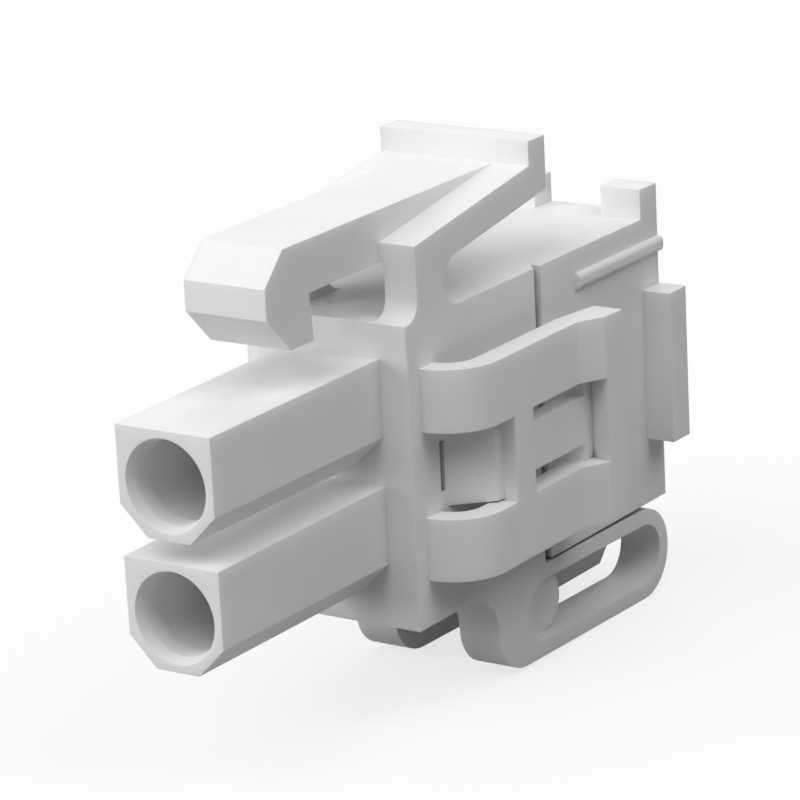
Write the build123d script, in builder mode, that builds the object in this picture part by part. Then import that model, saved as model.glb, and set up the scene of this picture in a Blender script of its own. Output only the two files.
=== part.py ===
from build123d import *
import math
import os

# Panel-mount connector housing for two wire contacts, one moulding, in millimetres.
# The origin is on the mating face, midway between the two contact axes.
# +X is to the right of the mating face, +Y runs back to the wire side, +Z is the latch side.

# Contact silos and the cavities that run through them
pitch = 4.14
silo_width = 3.57
silo_height = 3.53
silo_length = 8.80
silo_corner = 0.99
silo_draft = 0.3
mouth_radius = 1.48
lip_radius = 1.34
lead_in_depth = 0.40
lip_depth = 1.02
chamber_radius = 1.50
neck_radius = 1.20
neck_start = 9.40
neck_end = 10.60
wire_radius = 1.70
wire_rim_chamfer = 0.15

# Rear block that carries the silos
body_width = 5.65
body_height = 9.93
body_length = 15.33

# Latch: a hooked beam on two legs, with a thumb bar across their rear ends
beam_width = 2.98
beam_clearance = 1.735
beam_thickness = 1.65
nose_front = 3.49
nose_chamfer = 1.00
nose_face = 0.98
hook_flat = 1.21
hook_reach = 1.53
catch_front = 5.86
catch_lean = 5.0
pillar_front = 9.53
pillar_thickness = 1.53
pillar_gap = 3.29
pillar_height = 2.375
pillar_base_fillet = 0.65
leg_angle = 8.65
leg_thickness = 1.10
thumb_front = 16.24
thumb_length = 0.98
thumb_height = 0.81

# Snap arms on both sides, which spring behind the panel
arm_root = 9.45
arm_bend_radius = 1.75
arm_thickness = 0.82
arm_height = 6.92
ramp_start = 15.95
ramp_top = 16.87
barb_rise = 0.50
barb_length = 0.99
arm_end_rise = 0.55
arm_end_thickness = 1.08
window_height = 2.82
crossbar_front = 12.06
crossbar_length = 1.10
leaf_root = 10.72
leaf_bend_x = 4.01
leaf_bend_y = 11.77
leaf_thickness = 0.48
leaf_clearance = 0.05
leaf_recess = 0.25
tongue_height = 1.62
window_rear_slant = 0.23
foot_gap = 0.48
foot_length = 1.10

# Small cuts and the rib in the side walls
side_slot_front = 10.37
side_slot_width = 0.26
side_slot_height = 1.67
side_slot_depth = 1.50
groove_front = 16.28
groove_width = 0.40
groove_depth = 0.36
rib_front = 18.76
rib_level = 3.92
rib_height = 0.53
rib_reach = 0.22
rib_round = 0.18

# Panel stops on the sides and posts on top, flush with the wire side
stop_length = 1.07
stop_reach = 1.03
stop_height = 5.21
stop_level = -0.09
post_inner = 1.31
post_height = 1.02

# Spring loops and keel under the block
loop_inner = 1.27
loop_radius = 1.575
loop_thickness = 0.53
loop_front = 13.35
loop_rear = 24.17
loop_front_gap = 0.04
loop_rear_gap = 0.18
loop_slot_front = 15.19
web_reach = 2.67
web_recess = 0.52
keel_width = 0.90
keel_depth = 2.72
keel_front = 16.50
keel_corner = 0.60

# Levels and faces that several features share
body_front = silo_length
body_rear = body_front + body_length
body_side = body_width / 2
body_top = body_height / 2
body_bottom = -body_height / 2
cut_overrun = 1.0


# Two silos, drafted towards their mouths, with chamfered lower corners
with BuildPart() as silos:
    for silo_level in (pitch / 2, -pitch / 2):
        with BuildSketch(Plane.XZ.offset(-body_front)) as silo_section:
            with Locations((0, silo_level)):
                Rectangle(silo_width, silo_height)
            chamfer(silo_section.vertices().group_by(Axis.Y)[0], silo_corner)
        extrude(amount=silo_length, taper=silo_draft)


# One contact cavity about its own axis: lead-in, lip, chamber, locking neck and wire entry
with BuildPart() as cavity:
    with BuildSketch(Plane.XY):
        with BuildLine():
            Polyline(
                (0, 0),
                (mouth_radius, 0),
                (lip_radius, lead_in_depth),
                (lip_radius, lip_depth),
                (chamber_radius, lip_depth),
                (chamber_radius, neck_start),
                (neck_radius, neck_start),
                (neck_radius, neck_end),
                (wire_radius, neck_end + wire_radius - neck_radius),
                (wire_radius, body_rear - wire_rim_chamfer),
                (wire_radius + wire_rim_chamfer, body_rear),
                (0, body_rear),
                close=True,
            )
        make_face()
    revolve(axis=Axis.Y)


# Latch profiles, drawn from the side with Y across and Z up
leg_rise = math.tan(math.radians(leg_angle))
leg_depth = leg_thickness / math.cos(math.radians(leg_angle))
beam_bottom = body_top + beam_clearance
beam_top = beam_bottom + beam_thickness
thumb_rear = thumb_front + thumb_length
pillar_top = body_top + pillar_height
pillar_rear = pillar_front + pillar_thickness


def leg_top_at(y):
    return pillar_top + leg_rise * (y - pillar_front)


def leg_bottom_at(y):
    return leg_top_at(y) - leg_depth


# The gap between leg and block ends in one full round against the pillar
gap_cos = math.cos(math.radians(leg_angle))
gap_sin = math.sin(math.radians(leg_angle))
gap_at_pillar = leg_bottom_at(pillar_rear) - body_top
gap_round = gap_at_pillar * gap_cos / (1 + gap_cos - gap_sin)
gap_centre = (pillar_rear + gap_round, body_top + gap_round)

with BuildPart() as latch:
    with BuildSketch(Plane.YZ.offset(-body_side)):
        with BuildLine():
            gap_end = ThreePointArc(
                (gap_centre[0], body_top),
                (pillar_rear, gap_centre[1]),
                (gap_centre[0] - gap_round * gap_sin, gap_centre[1] + gap_round * gap_cos),
            )
            Polyline(
                gap_end @ 1,
                (thumb_rear, leg_bottom_at(thumb_rear)),
                (thumb_rear, beam_top + thumb_height),
                (thumb_front, beam_top + thumb_height),
                (thumb_front, leg_top_at(thumb_front)),
                (pillar_front, pillar_top),
                (pillar_front, body_top + pillar_base_fillet),
            )
            RadiusArc(
                (pillar_front, body_top + pillar_base_fillet),
                (pillar_front - pillar_base_fillet, body_top),
                pillar_base_fillet,
            )
            Line((pillar_front - pillar_base_fillet, body_top), gap_end @ 0)
        make_face()
    extrude(amount=body_width)

    # The two pillars stand apart, with the space between them open under the beam
    underside_bend = pillar_front + (beam_bottom + leg_depth - pillar_top) / leg_rise
    with BuildSketch(Plane.YZ.offset(-pillar_gap / 2)):
        with BuildLine():
            Polyline(
                (body_front, body_top),
                (underside_bend, body_top),
                (underside_bend, beam_bottom),
                (body_front, beam_bottom),
                close=True,
            )
        make_face()
    extrude(amount=pillar_gap, mode=Mode.SUBTRACT)

    # Beam with its hooked nose: chamfered tip, lead-in ramp, flat and leaning catch face
    catch_lean_shift = hook_reach * math.tan(math.radians(catch_lean))
    ramp_foot = catch_front - hook_flat
    with BuildSketch(Plane.YZ.offset(-beam_width / 2)):
        with BuildLine():
            Polyline(
                (nose_front + nose_chamfer, beam_top),
                (nose_front, beam_top - nose_chamfer),
                (nose_front, beam_top - nose_chamfer - nose_face),
                (ramp_foot, beam_bottom - hook_reach),
                (catch_front, beam_bottom - hook_reach),
                (catch_front - catch_lean_shift, beam_bottom),
                (underside_bend, beam_bottom),
                (thumb_front, leg_bottom_at(thumb_front)),
                (thumb_front, beam_top),
                close=True,
            )
        make_face()
    extrude(amount=beam_width)


# Right snap arm in plan, bent out of the wall, with its inner leaf and over-travel foot
arm_outer = body_side + arm_bend_radius
arm_inner = arm_outer - arm_thickness
leaf_outer = arm_outer - leaf_recess
bend_centre = (body_side, arm_root + arm_bend_radius)
bend_inner_radius = arm_bend_radius - arm_thickness
arm_end = ramp_top + barb_length
crossbar_rear = crossbar_front + crossbar_length
window_rear = ramp_top + window_rear_slant
half_chord = math.sqrt(0.5)
leaf_slope = (leaf_bend_y - leaf_root) / (leaf_bend_x - body_side)
leaf_rear_root = leaf_root + leaf_thickness * math.hypot(1, leaf_slope)
leaf_inner_bend = leaf_bend_x - leaf_thickness
leaf_height = window_height - 2 * leaf_clearance
foot_inner = body_side + foot_gap

with BuildPart() as snap_arm:
    with BuildSketch(Plane.XY.offset(-arm_height / 2)):
        with BuildLine():
            outer_bend = ThreePointArc(
                (bend_centre[0], arm_root),
                (
                    bend_centre[0] + arm_bend_radius * half_chord,
                    bend_centre[1] - arm_bend_radius * half_chord,
                ),
                (arm_outer, bend_centre[1]),
            )
            Polyline(
                outer_bend @ 1,
                (arm_outer, ramp_start),
                (arm_outer + barb_rise, ramp_top),
                (arm_outer + arm_end_rise, arm_end),
                (arm_outer + arm_end_rise - arm_end_thickness, arm_end),
                (arm_inner, ramp_start),
                (arm_inner, bend_centre[1]),
            )
            inner_bend = ThreePointArc(
                (arm_inner, bend_centre[1]),
                (
                    bend_centre[0] + bend_inner_radius * half_chord,
                    bend_centre[1] - bend_inner_radius * half_chord,
                ),
                (bend_centre[0], bend_centre[1] - bend_inner_radius),
            )
            Line(inner_bend @ 1, outer_bend @ 0)
        make_face()
    extrude(amount=arm_height)

    # Two windows through the arm, one on each side of the crossbar
    with BuildSketch(Plane.XY.offset(-window_height / 2)):
        with BuildLine():
            Polyline(
                (body_side, arm_root - cut_overrun),
                (arm_outer + cut_overrun, arm_root - cut_overrun),
                (arm_outer + cut_overrun, crossbar_front),
                (body_side, crossbar_front),
                close=True,
            )
        make_face()
        with BuildLine():
            Polyline(
                (body_side, crossbar_rear),
                (arm_outer + barb_rise, crossbar_rear),
                (arm_outer + barb_rise, ramp_top),
                (leaf_outer, window_rear),
                (body_side, window_rear),
                close=True,
            )
        make_face()
    extrude(amount=window_height, mode=Mode.SUBTRACT)

    # Leaf that leaves the wall aslant, bends and runs on behind the crossbar
    with BuildSketch(Plane.XY.offset(-leaf_height / 2)):
        with BuildLine():
            Polyline(
                (body_side, leaf_root),
                (leaf_bend_x, leaf_bend_y),
                (leaf_outer, crossbar_rear),
                (arm_inner, crossbar_rear),
                (leaf_inner_bend, leaf_rear_root + leaf_slope * (leaf_inner_bend - body_side)),
                (body_side, leaf_rear_root),
                close=True,
            )
        make_face()
    extrude(amount=leaf_height)

    # Tongue that carries the leaf on through the rear window
    with BuildSketch(Plane.XY.offset(-tongue_height / 2)):
        with BuildLine():
            Polyline(
                (arm_inner, crossbar_rear),
                (leaf_outer, crossbar_rear),
                (leaf_outer, window_rear),
                (arm_inner, window_rear),
                close=True,
            )
        make_face()
    extrude(amount=tongue_height)

    # Foot under the barb, which meets the block before the arm is overbent
    foot_front = window_rear - foot_length
    foot_step = ramp_top - window_rear_slant
    with BuildSketch(Plane.XY.offset(-window_height / 2)):
        with BuildLine():
            Polyline(
                (leaf_outer, foot_step),
                (foot_inner, foot_front),
                (foot_inner, window_rear),
                (arm_inner + leaf_recess, arm_end),
                (leaf_outer, arm_end),
                close=True,
            )
        make_face()
    extrude(amount=window_height)


# Right spring loop, drawn from the side: a flat ring hung by its front neck, drooping to the rear
loop_front_centre = loop_front + loop_radius
loop_rear_centre = loop_rear - loop_radius
loop_front_level = body_bottom - loop_front_gap - loop_radius
loop_rear_level = body_bottom - loop_rear_gap - loop_radius
loop_droop = (loop_front_level - loop_rear_level) / (loop_rear_centre - loop_front_centre)
loop_tilt = -math.degrees(math.atan(loop_droop))
slot_radius = loop_radius - loop_thickness
slot_front_centre = loop_slot_front + slot_radius
web_rear_centre = loop_slot_front + web_reach - slot_radius
loop_width = body_side - loop_inner
neck_arch = body_bottom - loop_front_level


def loop_level_at(y):
    return loop_front_level - loop_droop * (y - loop_front_centre)


def loop_slot(front_centre, rear_centre, radius, mode=Mode.ADD):
    """A round-ended bar along the loop's own slanting centre line."""
    middle = (front_centre + rear_centre) / 2
    span = math.hypot(1, loop_droop) * (rear_centre - front_centre)
    with Locations((middle, loop_level_at(middle))):
        SlotCenterToCenter(span, 2 * radius, rotation=loop_tilt, mode=mode)


with BuildPart() as spring_loop:
    with BuildSketch(Plane.YZ.offset(loop_inner)):
        loop_slot(loop_front_centre, loop_rear_centre, loop_radius)
        with BuildLine():
            RadiusArc(
                (loop_front, loop_front_level),
                (loop_front - neck_arch, body_bottom),
                -neck_arch,
            )
            Polyline(
                (loop_front - neck_arch, body_bottom),
                (groove_front, body_bottom),
                (groove_front, loop_front_level),
                (loop_front, loop_front_level),
            )
        make_face()
        loop_slot(slot_front_centre, loop_rear_centre, slot_radius, mode=Mode.SUBTRACT)
    extrude(amount=loop_width)

    # Thin web that closes the front of the slot, set back from the outer face
    with BuildSketch(Plane.YZ.offset(loop_inner)):
        loop_slot(slot_front_centre, web_rear_centre, slot_radius)
    extrude(amount=loop_width - web_recess)


# Keel between the loops
with BuildPart() as keel:
    with BuildSketch(Plane.YZ.offset(-keel_width / 2)) as keel_section:
        with BuildLine():
            Polyline(
                (keel_front, body_bottom),
                (keel_front, body_bottom - keel_depth),
                (body_rear, body_bottom - keel_depth),
                (body_rear, body_bottom),
                close=True,
            )
        make_face()
        chamfer(keel_section.vertices().group_by(Axis.Y)[0].sort_by(Axis.X)[-1], keel_corner)
    extrude(amount=keel_width)


# Rounded rib high on the right wall, running out at the wire side
with BuildPart() as side_rib:
    with BuildSketch(Plane.XZ.offset(-body_rear)) as rib_section:
        with Locations((body_side + rib_reach / 2, rib_level)):
            Rectangle(rib_reach, rib_height)
        fillet(rib_section.vertices().group_by(Axis.X)[-1], rib_round)
    extrude(amount=body_rear - rib_front)


# Panel stop on the right wall and post on the right of the top face
with BuildPart() as rear_stops:
    with BuildSketch(Plane.XZ.offset(-body_rear)):
        with Locations((body_side + stop_reach / 2, stop_level)):
            Rectangle(stop_reach, stop_height)
        with Locations(((post_inner + body_side) / 2, body_top + post_height / 2)):
            Rectangle(body_side - post_inner, post_height)
    extrude(amount=stop_length)


# Slot and V groove in the right wall
with BuildPart() as wall_cuts:
    with BuildSketch(Plane.YZ.offset(body_side - side_slot_depth)):
        with Locations((side_slot_front + side_slot_width / 2, 0)):
            Rectangle(side_slot_width, side_slot_height)
    extrude(amount=side_slot_depth)
    with BuildSketch(Plane.XY.offset(body_bottom)):
        with BuildLine():
            Polyline(
                (body_side, groove_front),
                (body_side, groove_front + groove_width),
                (body_side - groove_depth, groove_front + groove_width),
                close=True,
            )
        make_face()
    extrude(amount=body_height)


# The whole moulding: block, silos and latch, with what is on one side mirrored to the other
with BuildPart() as connector_housing:
    with Locations((0, (body_front + body_rear) / 2, 0)):
        Box(body_width, body_length, body_height)
    add(silos.part)
    add(latch.part)
    add(keel.part)
    for side_feature in (snap_arm, spring_loop, side_rib, rear_stops):
        add(side_feature.part)
        mirror(side_feature.part, about=Plane.YZ)
    add(wall_cuts.part, mode=Mode.SUBTRACT)
    mirror(wall_cuts.part, about=Plane.YZ, mode=Mode.SUBTRACT)
    with Locations((0, 0, pitch / 2), (0, 0, -pitch / 2)):
        add(cavity.part, mode=Mode.SUBTRACT)

connector_housing.part.label = "connector_housing"

os.makedirs("parts", exist_ok=True)
export_step(connector_housing.part, "parts/connector_housing.step")
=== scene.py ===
import math

import bpy
from mathutils import Matrix, Vector


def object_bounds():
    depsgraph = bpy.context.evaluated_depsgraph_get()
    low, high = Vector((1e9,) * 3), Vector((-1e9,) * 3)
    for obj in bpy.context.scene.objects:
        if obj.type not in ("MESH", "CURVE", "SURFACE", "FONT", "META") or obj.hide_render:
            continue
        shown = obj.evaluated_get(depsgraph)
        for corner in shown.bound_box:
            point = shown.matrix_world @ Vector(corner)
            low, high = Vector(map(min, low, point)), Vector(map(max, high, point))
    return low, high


METRES_TO_MM = 1000.0
WHITE = (1.0, 1.0, 1.0, 1.0)

# Camera fitted to the photograph, in metres and degrees
EYE = (0.07013, -0.08984, 0.03860)
CAMERA_AZIMUTH = 34.434
CAMERA_ELEVATION = 16.752
CAMERA_ROLL = 2.950
FOCAL_PIXELS = 4051.95
IMAGE_PIXELS = 800
SENSOR = 36.0
CLIP_NEAR = 0.01
CLIP_FAR = 10.0

# Round soft lamps: name, azimuth, elevation, power in watts
LAMP_TARGET = (0.0, 0.012, 0.0)
LAMP_DISTANCE = 0.40
LAMP_WIDTH = 0.28
LAMPS = [
    ("left_low_softbox", -48.0, 18.0, 0.84),
    ("left_high_softbox", -60.0, 50.0, 0.12),
    ("front_softbox", 0.0, 50.0, 0.70),
    ("top_softbox", 50.0, 70.0, 0.20),
    ("right_softbox", 94.0, 50.0, 0.58),
    ("rear_left_softbox", -150.0, 45.0, 0.25),
    ("rear_right_softbox", 160.0, 40.0, 0.06),
]
WORLD_STRENGTH = 0.02
SEEN_STRENGTH = 1.0

# The floor's own grey for bounced light, and the white share that the camera sees, by distance
FLOOR_RADIUS = 1.2
FLOOR_SIDES = 96
FLOOR_DROP = 0.00001
FLOOR_BOUNCE = (0.20, 0.20, 0.20, 1.0)
FLOOR_WHITE_SHARE = 0.75
FLOOR_FADE_START = 0.03
FLOOR_FADE_END = 0.20

# Flow clouding of the plastic
PLASTIC_DARK = (0.79, 0.79, 0.79, 1.0)
PLASTIC_LIGHT = (0.83, 0.83, 0.83, 1.0)
CLOUD_START = 0.30
CLOUD_END = 0.70
CLOUDS_PER_MM = 0.25
CLOUD_DETAIL = 2.0

# Painted shade in narrow gaps: the colour is darkened by how open a spot is within GAP_REACH
GAP_REACH = 0.0005
GAP_SAMPLES = 8
GAP_SHUT = 0.05
GAP_OPEN = 0.40
# Darkest painted shade, as a share of the plastic's colour
GAP_TONE = 0.08

# Translucency
GLOW_SHARE = 0.35
GLOW_RADIUS = (1.0, 1.0, 1.0)
GLOW_DEPTH = 0.0007

# Uneven sheen and fine mould grain
SHEEN_LOW = 0.48
SHEEN_HIGH = 0.62
SHEENS_PER_MM = 1.6
SHEEN_DETAIL = 3.0
GRAIN_STRENGTH = 0.20
GRAIN_HEIGHT = 0.00003
GRAINS_PER_MM = 7.0
GRAIN_DETAIL = 4.0


def direction(azimuth, elevation):
    """Unit vector from the object towards a lamp or camera standing there."""
    a, e = math.radians(azimuth), math.radians(elevation)
    return Vector((math.sin(a) * math.cos(e), -math.cos(a) * math.cos(e), math.sin(e)))


def add_camera():
    a, roll = math.radians(CAMERA_AZIMUTH), math.radians(CAMERA_ROLL)
    back = direction(CAMERA_AZIMUTH, CAMERA_ELEVATION)
    level_right = Vector((math.cos(a), math.sin(a), 0.0))
    level_up = back.cross(level_right)
    right = math.cos(roll) * level_right - math.sin(roll) * level_up
    up = math.cos(roll) * level_up + math.sin(roll) * level_right
    camera = bpy.data.objects.new("camera", bpy.data.cameras.new("camera"))
    camera.matrix_world = Matrix.Translation(EYE) @ Matrix((right, up, back)).transposed().to_4x4()
    camera.data.sensor_width = SENSOR
    camera.data.lens = SENSOR * FOCAL_PIXELS / IMAGE_PIXELS
    camera.data.clip_start = CLIP_NEAR
    camera.data.clip_end = CLIP_FAR
    bpy.context.scene.collection.objects.link(camera)
    bpy.context.scene.camera = camera


def add_lamp(name, azimuth, elevation, power):
    lamp = bpy.data.lights.new(name, "AREA")
    lamp.shape = "DISK"
    lamp.size = LAMP_WIDTH
    lamp.energy = power
    holder = bpy.data.objects.new(name, lamp)
    towards = direction(azimuth, elevation)
    holder.location = Vector(LAMP_TARGET) + towards * LAMP_DISTANCE
    holder.rotation_mode = "QUATERNION"
    holder.rotation_quaternion = (-towards).to_track_quat("-Z", "Y")
    bpy.context.scene.collection.objects.link(holder)


def seen_directly(nodes, links):
    """1 for camera, glossy and transmission rays, 0 for the light on the object."""
    path = nodes.new("ShaderNodeLightPath")
    total = path.outputs["Is Camera Ray"]
    for ray in ("Is Glossy Ray", "Is Transmission Ray"):
        either = nodes.new("ShaderNodeMath")
        either.operation = "MAXIMUM"
        links.new(total, either.inputs[0])
        links.new(path.outputs[ray], either.inputs[1])
        total = either.outputs[0]
    return total


def mixed(nodes, links, share, first, second):
    """The first shader where share is 0, the second where it is 1."""
    mix = nodes.new("ShaderNodeMixShader")
    links.new(share, mix.inputs["Fac"])
    links.new(first.outputs[0], mix.inputs[1])
    links.new(second.outputs[0], mix.inputs[2])
    return mix


def coloured(nodes, kind, colour):
    shader = nodes.new(kind)
    shader.inputs["Color"].default_value = colour
    return shader


def light_world():
    world = bpy.data.worlds.new("studio")
    bpy.context.scene.world = world
    world.use_nodes = True
    nodes, links = world.node_tree.nodes, world.node_tree.links
    light = nodes["Background"]
    light.inputs["Color"].default_value = WHITE
    light.inputs["Strength"].default_value = WORLD_STRENGTH
    backdrop = coloured(nodes, "ShaderNodeBackground", WHITE)
    backdrop.inputs["Strength"].default_value = SEEN_STRENGTH
    mix = mixed(nodes, links, seen_directly(nodes, links), light, backdrop)
    links.new(mix.outputs[0], nodes["World Output"].inputs["Surface"])


def white_share(nodes, links):
    """Grows with the distance from the object, so that the floor ends in the white backdrop."""
    reach = nodes.new("ShaderNodeVectorMath")
    reach.operation = "LENGTH"
    links.new(nodes.new("ShaderNodeTexCoord").outputs["Object"], reach.inputs[0])
    fade = nodes.new("ShaderNodeMapRange")
    fade.inputs["From Min"].default_value = FLOOR_FADE_START
    fade.inputs["From Max"].default_value = FLOOR_FADE_END
    fade.inputs["To Min"].default_value = FLOOR_WHITE_SHARE
    links.new(reach.outputs["Value"], fade.inputs["Value"])
    return fade.outputs["Result"]


def floor_material():
    """Grey to the light on the object, seen as nearly white with the object's shadow on it."""
    material = bpy.data.materials.new("pale_floor")
    material.use_nodes = True
    nodes, links = material.node_tree.nodes, material.node_tree.links
    nodes.remove(nodes["Principled BSDF"])
    bounce = coloured(nodes, "ShaderNodeBsdfDiffuse", FLOOR_BOUNCE)
    shaded = coloured(nodes, "ShaderNodeBsdfDiffuse", WHITE)
    white = coloured(nodes, "ShaderNodeEmission", WHITE)
    white.inputs["Strength"].default_value = SEEN_STRENGTH
    seen = mixed(nodes, links, white_share(nodes, links), shaded, white)
    mix = mixed(nodes, links, seen_directly(nodes, links), bounce, seen)
    links.new(mix.outputs[0], nodes["Material Output"].inputs["Surface"])
    return material


def add_floor(level):
    bpy.ops.mesh.primitive_circle_add(
        vertices=FLOOR_SIDES, radius=FLOOR_RADIUS, fill_type="NGON", location=(0.0, 0.0, level - FLOOR_DROP)
    )
    floor = bpy.context.active_object
    floor.name = "floor"
    floor.data.materials.append(floor_material())


def noise(nodes, links, per_mm, detail):
    texture = nodes.new("ShaderNodeTexNoise")
    texture.inputs["Scale"].default_value = per_mm * METRES_TO_MM
    texture.inputs["Detail"].default_value = detail
    links.new(nodes.new("ShaderNodeTexCoord").outputs["Object"], texture.inputs["Vector"])
    return texture.outputs["Fac"]


def painted_gap_shade(nodes, links):
    """Painted shade: 1 on open faces, falling to GAP_TONE where walls close a spot in on most sides."""
    openness = nodes.new("ShaderNodeAmbientOcclusion")
    openness.samples = GAP_SAMPLES
    openness.inputs["Distance"].default_value = GAP_REACH
    level = nodes.new("ShaderNodeMapRange")
    level.inputs["From Min"].default_value = GAP_SHUT
    level.inputs["From Max"].default_value = GAP_OPEN
    level.inputs["To Min"].default_value = GAP_TONE
    links.new(openness.outputs["AO"], level.inputs["Value"])
    return level.outputs["Result"]


def add_tone(nodes, links, shader, level):
    """Flow clouding, with painted shade darkening the colour in narrow gaps."""
    ramp = nodes.new("ShaderNodeValToRGB")
    dark, light = ramp.color_ramp.elements
    dark.position = CLOUD_START
    dark.color = PLASTIC_DARK
    light.position = CLOUD_END
    light.color = PLASTIC_LIGHT
    links.new(noise(nodes, links, CLOUDS_PER_MM, CLOUD_DETAIL), ramp.inputs["Fac"])
    # The clouded colour scaled down by the painted shade of narrow gaps
    painted_shade_colour = nodes.new("ShaderNodeVectorMath")
    painted_shade_colour.operation = "SCALE"
    links.new(ramp.outputs["Color"], painted_shade_colour.inputs[0])
    links.new(level, painted_shade_colour.inputs["Scale"])
    links.new(painted_shade_colour.outputs["Vector"], shader.inputs["Base Color"])


def add_glow(nodes, links, shader, level):
    """Light that spreads under the surface, turned down in narrow gaps so that the painted shade there
    stays dark.
    """
    glow = nodes.new("ShaderNodeMath")
    glow.operation = "MULTIPLY"
    glow.inputs[1].default_value = GLOW_SHARE
    links.new(level, glow.inputs[0])
    links.new(glow.outputs["Value"], shader.inputs["Subsurface Weight"])
    shader.inputs["Subsurface Radius"].default_value = GLOW_RADIUS
    shader.inputs["Subsurface Scale"].default_value = GLOW_DEPTH


def add_sheen(nodes, links, shader):
    sheen = nodes.new("ShaderNodeMapRange")
    sheen.inputs["To Min"].default_value = SHEEN_LOW
    sheen.inputs["To Max"].default_value = SHEEN_HIGH
    links.new(noise(nodes, links, SHEENS_PER_MM, SHEEN_DETAIL), sheen.inputs["Value"])
    links.new(sheen.outputs["Result"], shader.inputs["Roughness"])


def add_grain(nodes, links, shader):
    grain = nodes.new("ShaderNodeBump")
    grain.inputs["Strength"].default_value = GRAIN_STRENGTH
    grain.inputs["Distance"].default_value = GRAIN_HEIGHT
    links.new(noise(nodes, links, GRAINS_PER_MM, GRAIN_DETAIL), grain.inputs["Height"])
    links.new(grain.outputs["Normal"], shader.inputs["Normal"])


def plastic_material():
    """Matte white moulded plastic: flow clouding, painted shade in narrow gaps, translucency, uneven sheen
    and mould grain.
    """
    material = bpy.data.materials.new("moulded_plastic")
    material.use_nodes = True
    nodes, links = material.node_tree.nodes, material.node_tree.links
    shader = nodes["Principled BSDF"]
    # level carries the painted shade of narrow gaps into the colour and the translucency
    level = painted_gap_shade(nodes, links)
    add_tone(nodes, links, shader, level)
    add_glow(nodes, links, shader, level)
    add_sheen(nodes, links, shader)
    add_grain(nodes, links, shader)
    return material


def dress(node, material):
    node.data.materials.clear()
    node.data.materials.append(material)


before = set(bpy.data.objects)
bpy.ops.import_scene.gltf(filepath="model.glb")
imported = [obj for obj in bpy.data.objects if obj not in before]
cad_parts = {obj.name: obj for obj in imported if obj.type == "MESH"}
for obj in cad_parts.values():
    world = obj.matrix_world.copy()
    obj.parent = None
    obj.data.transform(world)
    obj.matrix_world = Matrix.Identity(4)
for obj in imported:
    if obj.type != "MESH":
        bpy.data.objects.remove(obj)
cad_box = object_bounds()
bpy.context.scene.view_settings.view_transform = "Standard"
add_camera()
light_world()
for lamp_values in LAMPS:
    add_lamp(*lamp_values)
add_floor(cad_box[0].z)
dress(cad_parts["connector_housing"], plastic_material())
